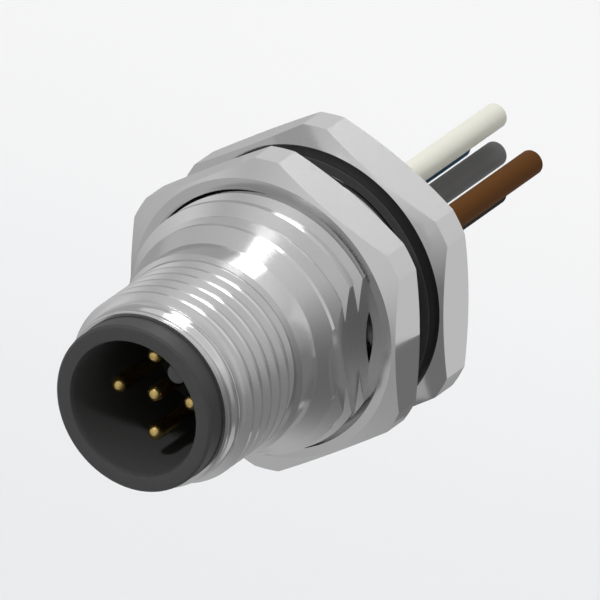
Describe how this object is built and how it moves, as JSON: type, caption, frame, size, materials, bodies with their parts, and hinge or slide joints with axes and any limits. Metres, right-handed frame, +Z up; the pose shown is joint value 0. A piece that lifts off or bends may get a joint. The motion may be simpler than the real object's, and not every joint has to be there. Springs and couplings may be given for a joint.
{
  "type": "m12 connector",
  "caption": "Panel-mounted round connector: threaded metal body with a hex nut and a sealed hex flange, contact pins in a keyed moulded carrier, and short coloured leads behind.",
  "frame": {"origin": "on the connector's axis, in the plane of the panel seal's front face, where the back of the panel bears", "axes": "+Y along the axis from the mating face to the leads, +Z up with the upper contact above the axis, +X towards the flat on the panel thread"},
  "size_m": [0.0178, 0.0418, 0.0196],
  "materials": {
    "plated_brass": "nickel plated, satin",
    "black_rubber": "matt",
    "black_plastic": "moulded, matt",
    "gold_contact": "gold plated",
    "potting": "cast resin",
    "brown_jacket": "extruded insulation",
    "white_jacket": "extruded insulation",
    "blue_jacket": "extruded insulation",
    "black_jacket": "extruded insulation",
    "grey_jacket": "extruded insulation",
    "tinned_copper": "tinned copper strands"
  },
  "bodies": {
    "connector": {"housing": "plated_brass", "panel_seal": "black_rubber", "contact_carrier": "black_plastic", "carrier_ring": "black_rubber", "contact_pin_1": "gold_contact", "contact_pin_2": "gold_contact", "contact_pin_3": "gold_contact", "contact_pin_4": "gold_contact", "contact_pin_5": "gold_contact", "sealing_compound": "potting", "lead_jacket_1": "brown_jacket", "lead_jacket_2": "white_jacket", "lead_jacket_3": "blue_jacket", "lead_jacket_4": "black_jacket", "lead_jacket_5": "grey_jacket", "lead_conductor_1": "tinned_copper", "lead_conductor_2": "tinned_copper", "lead_conductor_3": "tinned_copper", "lead_conductor_4": "tinned_copper", "lead_conductor_5": "tinned_copper"},
    "nut": {"hex_nut": "plated_brass"}
  },
  "joints": [
    {"name": "nut_turn", "type": "hinge", "parent": "connector", "child": "nut", "pos_m": [0, -0.00325, 0], "axis": [0, 1, 0], "range_deg": [-1380, 420]}
  ]
}
